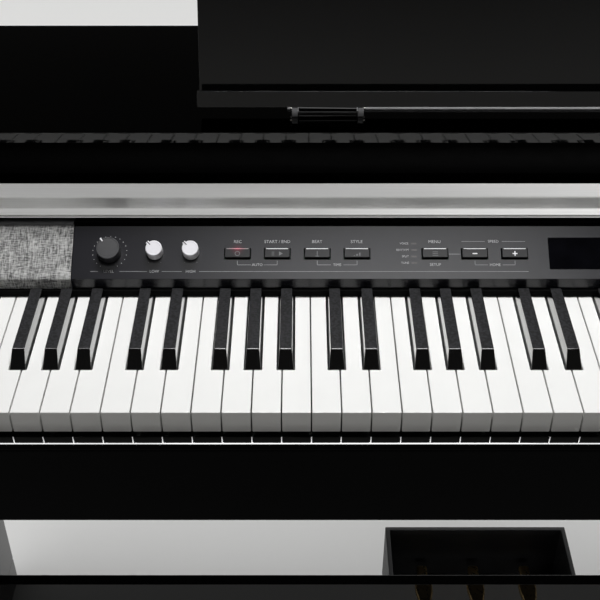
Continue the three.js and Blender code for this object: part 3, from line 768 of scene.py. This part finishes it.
# The buttons' signs, from their middles: bars as left, right, top and bottom, bars that cross them and are
# printed a little higher, and rings as outer and inner radius.
SIGN_BARS = {
    "play": [(-4.6, -4.2, -2, 2), (-3.2, -2.8, -2, 2)],
    "beat": [(-0.3, 0.3, -2.4, 2.2), (-1.6, 1.6, 2.2, 2.7)],
    "style": [(2.4 * k - 3, 2.4 * k - 1.8, 1.8 - 1.3 * k, 2.2) for k in range(3)],
    "menu": [(-2.4, 2.4, 1.7 * k - 1.8, 1.7 * k - 1.3) for k in range(3)],
    "minus": [(-2.2, 2.2, -0.5, 0.5)],
    "plus": [(-2.2, 2.2, -0.5, 0.5)],
}
SIGN_CROSSBARS = {"plus": [(-0.5, 0.5, -2.2, 2.2)], "power": [(-0.3, 0.3, -3, 0)]}
SIGN_RINGS = {"record": (2.3, 1.7), "power": (2.2, 1.7)}
PLAY_TIP = ((1.6, 2), (1.6, -2), (4.8, 0))


def print_sign(sign, name, cx, cy, base):
    """The small sign on a button's cap."""
    if name in SIGN_RINGS:
        outer, inner = SIGN_RINGS[name]
        annulus(sign.mesh, (cx * MM, -cy * MM), outer * MM, inner * MM, base, base + RAISE)
    for bars, lift in ((SIGN_BARS, 0), (SIGN_CROSSBARS, RAISE / 4)):
        for x0, x1, top, bottom in bars.get(name, []):
            sign.bar(cx + x0, cx + x1, cy + top, cy + bottom, base + lift)
    if name == "play":
        tip = [((cx + x) * MM, (y - cy) * MM) for x, y in PLAY_TIP]
        prism(sign.mesh, tip, base, base + RAISE, lay_up)


def make_button(name):
    """A button's cap with its light bar and its sign."""
    left = button_left(name)
    body, slot = f"{name}_push", "dark_plastic"
    cap_skin, lamp_skin, ink = BUTTON_CAP, INK_BRIGHT, INK_FAINT
    if name == "record":
        cap_skin, lamp_skin = RECORD_CAP, LAMP_RED
    if name in ("minus", "plus"):
        ink = INK_BRIGHT
    mesh = bmesh.new()
    block(mesh, left * MM, (left + BUTTON_W) * MM, -BUTTON_LOW * MM, -BUTTON_TOP * MM,
          -BUTTON_DEEP * MM, BUTTON_PROUD * MM)
    new_piece(f"{name}_button_cap", mesh, cap_skin, body, [f"{name}_button"], FACE, bevel=0.45)

    top = BUTTON_PROUD * MM
    middle = BUTTON_TOP + LAMP_DOWN
    bar = bmesh.new()
    block(bar, (left + 1.5) * MM, (left + BUTTON_W - 1.5) * MM, -(middle + 0.35) * MM, -(middle - 0.35) * MM,
          top - 0.2 * MM, top + 0.05 * MM)
    new_piece(f"{name}_button_lamp", bar, lamp_skin, body, place=FACE, smooth=False)

    sign = Print()
    print_sign(sign, name, left + BUTTON_W / 2, (BUTTON_TOP + BUTTON_LOW) / 2 + 0.9, top)
    sign.finish(f"{name}_button_sign", ink, body, slot)


# Each knob: pointer angle at rest in degrees, from the right and up, and whether it is dark.
KNOBS = {"volume": (128, True), "bass": (135, False), "treble": (135, False)}
KNOB_HEIGHT = 11
KNOB_EDGE = 0.45               # slant of the rim
SPINDLE_R = 3
SPINDLE_DEEP = 7


def knob_place(name):
    """Centre on the face and radius of a knob, in millimetres."""
    low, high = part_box(f"{name}_knob")
    centre = FACE.inverted() @ ((low + high) / 2)
    radius = (high.x - low.x) / 2
    return centre.x / MM, -centre.y / MM, radius / MM


def make_knob(name):
    """A turned cap on its spindle, with a ridge and a pointer."""
    x, down, r = knob_place(name)
    angle, dark = KNOBS[name]
    body = f"{name}_dial"
    centre = (x * MM, -down * MM)
    top = KNOB_HEIGHT
    profile = [(SPINDLE_R, -SPINDLE_DEEP), (SPINDLE_R, 0.5), (r - 0.5, 0.5), (r, 1.0),
               (r - 0.15, top - KNOB_EDGE), (r - 0.15 - KNOB_EDGE, top), (r - 1.5, top),
               (r - 1.7, top - 0.15), (0.4, top - 0.15)]
    mesh = bmesh.new()
    turned(mesh, [(pr * MM, pz * MM) for pr, pz in profile], 64, centre)
    shell = KNOB_BLACK if dark else KNOB_WHITE
    cap = new_piece(f"{name}_knob_cap", mesh, shell, body, [f"{name}_knob"], FACE)
    cap.data.set_sharp_from_angle(angle=math.radians(20))

    turn = FACE @ Matrix.Translation((*centre, 0)) @ Matrix.Rotation(math.radians(angle), 4, "Z")
    reach, half = (r + 1.1, 1.1) if dark else (r + 1.2, 1.5)
    ridge = bmesh.new()
    block(ridge, (r - 1) * MM, reach * MM, -half * MM, half * MM, 3 * MM, (top - 0.1) * MM)
    new_piece(f"{name}_knob_ridge", ridge, shell, body, place=turn, bevel=0.3)

    inner, half = (r - 2.4, 0.62) if dark else (r - 2.8, 0.38)
    pointer = bmesh.new()
    block(pointer, inner * MM, (reach - 0.2) * MM, -half * MM, half * MM, (top - 0.4) * MM, (top + 0.1) * MM)
    new_piece(f"{name}_knob_pointer", pointer, INK_BRIGHT if dark else DARK_PLASTIC, body, place=turn,
              smooth=False)


def print_below_knobs(ink, lines):
    """A line below the knobs with a word in each of its gaps."""
    down, end = 41.6, -44.3
    places = [knob_place(name)[0] for name in KNOBS]
    volume, bass, treble = places
    for x0, x1 in ((volume - 16, volume - 9.5), (volume + 9.5, bass - 6.5), (bass + 6.5, treble - 7.5),
                   (treble + 7.5, end)):
        lines.across(x0, x1, down)
    for x, text in zip(places, ("LEVEL", "LOW", "HIGH")):
        ink.word(text, x, down, 2.5)


def print_dots(print_on, name, count, out, r):
    """Dots around a knob, out millimetres off its rim, from lower right to lower left."""
    x, down, rim = knob_place(name)
    for k in range(count):
        a = math.radians(-60 + 300 * k / (count - 1))
        print_on.dot(x + (rim + out) * math.cos(a), down - (rim + out) * math.sin(a), r)


def print_button_words(ink, lines):
    """The words above and below the buttons, and the brackets that join pairs of them."""
    middle = {name: button_left(name) + BUTTON_W / 2 for name in BUTTONS}
    for name, text in (("record", "REC"), ("play", "START / END"), ("beat", "BEAT"), ("style", "STYLE"),
                       ("menu", "MENU"), ("power", "POWER")):
        ink.word(text, middle[name], 13.6, 2.8)
    ink.word("SETUP", middle["menu"], 35.2, 2.5)

    low = 35.4
    for first, second, text, half in (("record", "play", "AUTO", 5.5), ("beat", "style", "TIME", 5.5),
                                      ("minus", "plus", "HOME", 6.5)):
        a, b = middle[first], middle[second]
        centre = (a + b) / 2
        for x0, x1 in ((a, centre - half), (centre + half, b)):
            lines.across(x0, x1, low)
        for x in (a, b):
            lines.bar(x - LINE / 2, x + LINE / 2, 31.4, low - LINE / 2)
        ink.word(text, centre, low, 2.4)

    a, b = middle["minus"] - 11, middle["plus"] + 10
    centre = (a + b) / 2
    for x0, x1 in ((a, centre - 7.5), (centre + 7.5, b)):
        lines.bar(x0, x1, 13.1, 13.5)
    ink.word("SPEED", centre, 13.3, 2.5)
    right_of_menu = button_left("menu") + BUTTON_W
    lines.bar(right_of_menu + 1.2, button_left("minus") - 1.2, 25.1, 25.5)


def print_lamps(ink, lamps):
    """The four small lamps left of the menu button, each with its word."""
    for k, text in enumerate(("VOICE", "RHYTHM", "SPLIT", "TUNE")):
        down = 15.3 + 6.1 * k
        lamps.bar(-146.2, -141.4, down - 0.75, down + 0.75)
        ink.word(text, -148.4, down, 1.9, align="RIGHT")


def print_panel():
    """All the print, by its inks."""
    ink, lines, faint, lamps = Print(), Print(), Print(), Print()
    print_below_knobs(ink, lines)
    print_dots(ink, "volume", 19, 4.6, 0.42)
    for name in ("bass", "treble"):
        print_dots(faint, name, 3, 3.4, 0.4)
    print_button_words(ink, lines)
    print_lamps(ink, lamps)
    ink.finish("panel_print", INK)
    lines.finish("panel_lines", INK_LINE)
    faint.finish("panel_marks", INK_FAINT)
    lamps.finish("panel_lamps", LAMP_OFF)


def make_display():
    low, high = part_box("display_window")
    half = (high.x - low.x) / 2
    mesh = bmesh.new()
    block(mesh, -half, half, -39.2 * MM, -10 * MM, -2 * MM, 0.2 * MM)
    new_piece("display_glass_plate", mesh, GLASS, "cabinet", ["display_window"], FACE,
              bevel=0.3)


def make_panel():
    dress("control_panel", PANEL, 0.5)
    dress("panel_circuit_board", BOARD)
    make_display()
    for name in BUTTONS:
        make_button(name)
    for name in KNOBS:
        make_knob(name)
    print_panel()


# ---------------- speaker grilles

CLOTH = 0.6                    # thickness of the cloth


def make_grille(side):
    """The cloth over the grille's frame, up the low front and the slope, with a hem along its top."""
    node = f"speaker_grille_{side}"
    low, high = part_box(node)

    def on_face(down, out=0.0):
        point = FACE @ Vector((0, -down, out - GRILLE_SUNK))
        return point.y, point.z

    bottom = on_face(PANEL_LENGTH)
    path = [(bottom[0], at(0, 7)[1]), (bottom[0], bottom[1] - 0.6 * MM)]
    climb = PANEL_LENGTH + 0.4 * MM
    path += [on_face(PANEL_LENGTH - climb * (0.01 + 0.99 * k / 12)) for k in range(13)]
    hem = ((-0.9, -0.5), (-1.5, -0.5), (-2.0, 0), (-2.7, 0.1), (-3.0, -0.3))
    path += [on_face(down * MM, out * MM) for down, out in hem]

    def shifted(points, off):
        """The path moved outwards by off."""
        made = []
        for k, (y, z) in enumerate(points):
            y0, z0 = points[max(k - 1, 0)]
            y1, z1 = points[min(k + 1, len(points) - 1)]
            length = math.hypot(y1 - y0, z1 - z0)
            made.append((y - (z1 - z0) / length * off, z + (y1 - y0) / length * off))
        return made

    outline = shifted(path, 0.1 * MM) + shifted(path, (0.1 + CLOTH) * MM)[::-1]
    mesh = bmesh.new()
    prism(mesh, outline, low.x, high.x, lay_x)
    cloth = new_piece(f"grille_cloth_{side}", mesh, LINEN, "cabinet")
    dress(node, MOULDED)
    dress(f"speaker_{side}", PAPER)


def make_felt():
    """A strip of black felt below the panel's front, just clear of the white keys."""
    low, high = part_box("key_frame")
    (front, bottom), top = at(146.7, 0.3), at(0, 6.8)[1]
    back = at(152.6, 0)[0]
    mesh = bmesh.new()
    block(mesh, low.x, high.x, front, back, bottom, top)
    new_piece("felt_strip", mesh, FELT, "cabinet", bevel=0.4)


# ---------------- key cover, its handle and the top board

COVER_CENTRE = (204, -474)     # of its arc, from the white keys' top front edge
COVER_R = 526                  # of its lower face
COVER_T = 9
COVER_LENGTH = 188             # along its arc


def make_cover():
    """The cover is bent to the arc that it runs on, so that it stays in its track."""
    low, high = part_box("key_cover")
    centre = at(*COVER_CENTRE)
    front = math.degrees(math.acos((low.y - centre[0]) / (COVER_R * MM)))
    back = front - math.degrees(COVER_LENGTH / COVER_R)
    over = arc(*centre, (COVER_R + COVER_T) * MM, back, front, 48)
    under = arc(*centre, COVER_R * MM, front, back, 48)
    mesh = bmesh.new()
    prism(mesh, over + under, low.x, high.x, lay_x)
    new_piece("key_cover_board", mesh, LACQUER, "cover", ["key_cover"], bevel=1.0)


def make_handle():
    """The cover's aluminium strip: a slope, an upright face and a lip with a groove below."""
    low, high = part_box("key_cover_handle")
    back = 206.7
    rim = [(back, 50.2), (back, 79.2), (206.2, 79.9), (205.4, 80.0), (204.8, 79.5)]
    fold = [(199.4, 70.6), (199.0, 69.6), (199.1, 68.4)]
    face = [(199.4, 65.8), (199.7, 62.8), (199.9, 60.0), (200.0, 57.9), (199.6, 57.1)]
    lip = [(195.0, 54.7), (194.7, 54.2), (194.6, 53.6)]
    groove = [(196.4, 53.4), (196.4, 52.7)]
    under = [(194.5, 52.5), (194.2, 52.1), (194.2, 51.5), (194.8, 51.1), (200, 50.4)]
    section = [at(*p) for p in rim + fold + face + lip + groove + under]
    mesh = bmesh.new()
    prism(mesh, section, low.x, high.x, lay_x)
    handle = new_piece("key_cover_handle_strip", mesh, BRUSHED, "cover",
                       ["key_cover_handle"], smooth=False)
    edges = handle.modifiers.new("edges", "BEVEL")
    edges.width = 0.25 * MM
    edges.segments = 2
    edges.limit_method = "ANGLE"


TOP_UNDER = 111                # heights of the top board above the white keys
TOP_UPPER = 133
TOP_BACK = 416
NOSE_FRONT = 202.1             # the nose's foremost line
NOSE_R = 146                   # of its slight bulge, about a centre at NOSE_MIDDLE
NOSE_MIDDLE = 137.3
NOSE_LOW = 122.4               # its lower edge
NOSE_EDGE = 1.1                # rounding of its upper edge
UNDERCUT = 30


def make_top_board():
    """A board with a slightly convex nose, undercut below."""
    low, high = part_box("top_board")
    nose = [(NOSE_FRONT + UNDERCUT, TOP_UNDER), (TOP_BACK, TOP_UNDER), (TOP_BACK, TOP_UPPER)]
    nose += arc(NOSE_FRONT + NOSE_EDGE, TOP_UPPER - NOSE_EDGE, NOSE_EDGE, 90, 180, 6)[:-1]
    nose += arc(NOSE_FRONT + NOSE_R, NOSE_MIDDLE, NOSE_R, 182.1, 185.8, 12)
    nose += [(NOSE_FRONT + 1.2, NOSE_LOW)]
    mesh = bmesh.new()
    prism(mesh, [at(*p) for p in nose], low.x, high.x, lay_x)
    new_piece("top_board_panel", mesh, LACQUER, "cabinet", ["top_board"])


# ---------------- front key slip and the glints painted on it

SLIP_R = 6                     # of its rounded upper front edge
SLIP_FRONT = -13.9             # minus, because it lies in front of the white keys
SLIP_RISE = 1.6                # how much higher it is between the cheek blocks
SLIP_CHAMFER = 3               # of its lower front edge


def make_key_slip():
    """The front rail. Its ends lie lower, below the cheek blocks."""
    low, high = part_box("key_slip")
    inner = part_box("cheek_block_left")[1].x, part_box("cheek_block_right")[0].x
    front = at(SLIP_FRONT, 0)[0]
    r = SLIP_R * MM
    mesh = bmesh.new()
    for x0, x1, rise in ((low.x, inner[0], 0), (inner[0], inner[1], SLIP_RISE * MM), (inner[1], high.x, 0)):
        top = high.z + rise
        outline = [(front + SLIP_CHAMFER * MM, low.z), (high.y, low.z), (high.y, top)]
        outline += arc(front + r, top - r, r, 90, 180, 20)
        outline += [(front, low.z + SLIP_CHAMFER * MM)]
        prism(mesh, outline, x0, x1, lay_x)
    new_piece("key_slip_rail", mesh, SLIP_LACQUER, "cabinet", ["key_slip"])


def make_slip_glints():
    """Painted glints: thin white marks on the slip for the light seen through the gaps, one below each gap
    between white keys, a little way round its edge.

    Their front ends lean towards the camera's side, more so further from it.
    """
    back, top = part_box("key_slip")[1].yz
    back -= 0.2 * MM
    top += SLIP_RISE * MM
    r = SLIP_R * MM
    front = at(SLIP_FRONT, 0)[0]
    lift = 0.03 * MM
    half = 0.42 * MM
    most = 3 * MM
    path = [(back, top)] + arc(front + r, top - r, r, 90, 108, 6)
    over = [(back, top + lift)] + arc(front + r, top - r, r + lift, 90, 108, 6)
    mesh = bmesh.new()
    for i in range(WHITE_COUNT + 1):
        x = white_x(i)
        lean = max(-most, min(most, (CAMERA["x"] - x) * 0.0125))
        rings = []
        for (y0, z0), (y1, z1) in zip(path, over):
            cx = x + lean * (back - y0) / (back - path[-1][0])
            rings.append([(cx - half, y0, z0), (cx + half, y0, z0), (cx + half, y1, z1), (cx - half, y1, z1)])
        loft(mesh, rings)
    new_piece("painted_gap_glints", mesh, GLINT_PAINT, "cabinet", smooth=False)


# ---------------- stand, back and small parts

def screw_heads(name, places, direction, r, material=STEEL):
    """Pan head screws with a round recess, their tops towards direction."""
    mesh = bmesh.new()
    turn = Vector((0, 0, 1)).rotation_difference(Vector(direction)).to_matrix().to_4x4()
    profile = [(r, 0), (r, 0.25 * r), (0.85 * r, 0.5 * r), (0.55 * r, 0.62 * r), (0.42 * r, 0.62 * r),
               (0.40 * r, 0.2 * r), (0.05 * r, 0.2 * r)]
    for place in places:
        before = len(mesh.verts)
        turned(mesh, profile, 18)
        mesh.verts.ensure_lookup_table()
        bmesh.ops.transform(mesh, matrix=Matrix.Translation(place) @ turn, verts=mesh.verts[before:])
    new_piece(name, mesh, material, "cabinet", smooth=False)


def inset(a, b, margin, count=2):
    """Evenly spaced places from a to b, the outer ones a margin of millimetres in from the ends."""
    first, last = a + margin * MM, b - margin * MM
    return [first + (last - first) * k / (count - 1) for k in range(count)]


def make_back():
    dress("upper_back_panel", FOIL, 0.5)
    dress("lower_back_panel", FOIL, 0.8)
    dress("key_bed", FOIL, 0.8)
    low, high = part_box("upper_back_panel")
    places = [(x, high.y, z) for x in inset(low.x, high.x, 25, 7) for z in inset(low.z, high.z, 12)]
    screw_heads("upper_back_screws", places, (0, 1, 0), 3.6 * MM)
    low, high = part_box("lower_back_panel")
    places = [(x, high.y, z) for x in inset(low.x, high.x, 20) for z in inset(low.z, high.z, 30, 4)]
    screw_heads("lower_back_screws", places, (0, 1, 0), 3.6 * MM)
    low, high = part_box("key_bed")
    places = [(x, y, low.z) for x in inset(low.x, high.x, 30, 8) for y in inset(low.y, high.y, 40)]
    screw_heads("key_bed_screws", places, (0, 0, -1), 4.2 * MM)


def jack_nuts(name, places, r, bore, depth, turn, y):
    """Nuts round jacks, on a face that turn brings upright at y."""
    mesh = bmesh.new()
    for place in places:
        annulus(mesh, place, r * MM, bore * MM, 0, depth * MM)
    stand_up = Matrix.Translation((0, y, 0)) @ Matrix.Rotation(math.radians(turn), 4, "X")
    new_piece(name, mesh, NICKEL, "cabinet", smooth=False, place=stand_up)


def make_socket_plate():
    dress("socket_plate", MOULDED, 0.4)
    low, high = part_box("socket_plate")
    z = (low.z + high.z) / 2
    jack_nuts("line_jack_nuts", [(low.x + jack * MM, -z) for jack in (51, 75)], 8.2, 5.9, 1.6, -90, high.y)
    places = [(x, high.y, z) for x in inset(low.x, high.x, 5)]
    screw_heads("socket_plate_screws", places, (0, 1, 0), 2.4 * MM)


def make_headphone_box():
    dress("headphone_box", MOULDED, 1.2)
    low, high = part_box("headphone_box")
    z = (low.z + high.z) / 2
    jack_nuts("headphone_jack_nuts", [(x * MM, z) for x in (-575, -545)], 5.4, 3.5, 1.4, 90, low.y)


def make_stand():
    for side in ("left", "right"):
        dress(f"side_panel_{side}", LACQUER, 1.6)
        dress(f"foot_rail_{side}", LACQUER, 2.0)
        dress(f"cheek_block_{side}", LACQUER, 1.0)
    dress("pedal_board", LACQUER, 1.2)
    dress("pedal_box", MOULDED, 1.0)
    dress("height_adjuster", RUBBER, 0.6)
    dress("main_circuit_board", BOARD)
    bolts = ((190, 220), (190, 500), (-20, 660))
    for side, sign in (("left", -1), ("right", 1)):
        low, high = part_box(f"side_panel_{side}")
        x = low.x if sign < 0 else high.x
        places = [(x, y * MM, z * MM) for y, z in bolts]
        screw_heads(f"side_bolt_caps_{side}", places, (sign, 0, 0), 5.0 * MM, MOULDED)


PEDAL_NECK_HALF = 7.2
PEDAL_FLARE = (92, 34)         # where the neck starts to widen, behind the toe, and how long that takes


def make_pedal(name):
    """A cast lever with a rounded toe."""
    low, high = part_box(f"pedal_{name}")
    cx = (low.x + high.x) / 2
    half = (high.x - low.x) / 2
    neck = PEDAL_NECK_HALF * MM
    start, length = (v * MM for v in PEDAL_FLARE)
    start += low.y
    curve = ((0.05, 0.2), (0.25, 0.45), (0.6, 0.7), (0.9, 0.9), (1.0, 1.05))
    flare = [(neck + (half - neck) * out, start - length * along) for out, along in curve]
    plan = [(cx - neck, high.y), (cx - neck, start)]
    plan += [(cx - x, y) for x, y in flare]
    plan += arc(cx, low.y + half, half, 180, 360, 24)
    plan += [(cx + x, y) for x, y in flare[::-1]]
    plan += [(cx + neck, start), (cx + neck, high.y)]
    mesh = bmesh.new()
    prism(mesh, plan, low.z, high.z, lay_up)
    new_piece(f"pedal_{name}_lever", mesh, BRASS, f"foot_{name}", [f"pedal_{name}"], bevel=3.0,
              segments=6)


REST_HINGES = 220              # the music rest's hinges lie this far left and right of its middle
PIN_END = 31                   # each end of a pin, from the hinge's middle
PIN_R = 2.6
PIN_HEAD = 1.4


def make_music_rest():
    dress("music_rest", LACQUER, 1.2)
    dress("music_rest_hinge", STEEL, 0.3)
    joint = next(j for j in frame["joints"] if j["name"] == "music_rest_fold")
    _, y, z = joint["pos_m"]
    for side, sign in (("left", -1), ("right", 1)):
        mesh = bmesh.new()
        for end in (-1, 1):
            x = (sign * REST_HINGES + end * PIN_END) * MM
            prism(mesh, arc(y, z, PIN_R * MM, 0, 345, 23), x, x + end * PIN_HEAD * MM, lay_x)
        new_piece(f"music_rest_pins_{side}", mesh, NICKEL, "cabinet", smooth=False)


make_camera()
make_floor()
make_world()
make_key_lights()
make_room_lights()
make_keyboard()
make_panel()
for side_name in ("left", "right"):
    make_grille(side_name)
make_felt()
make_cover()
make_handle()
make_top_board()
make_key_slip()
make_slip_glints()
make_back()
make_socket_plate()
make_headphone_box()
make_stand()
for pedal_name in ("left", "middle", "right"):
    make_pedal(pedal_name)
make_music_rest()

link_lights()
bpy.context.scene.view_settings.view_transform = "Standard"
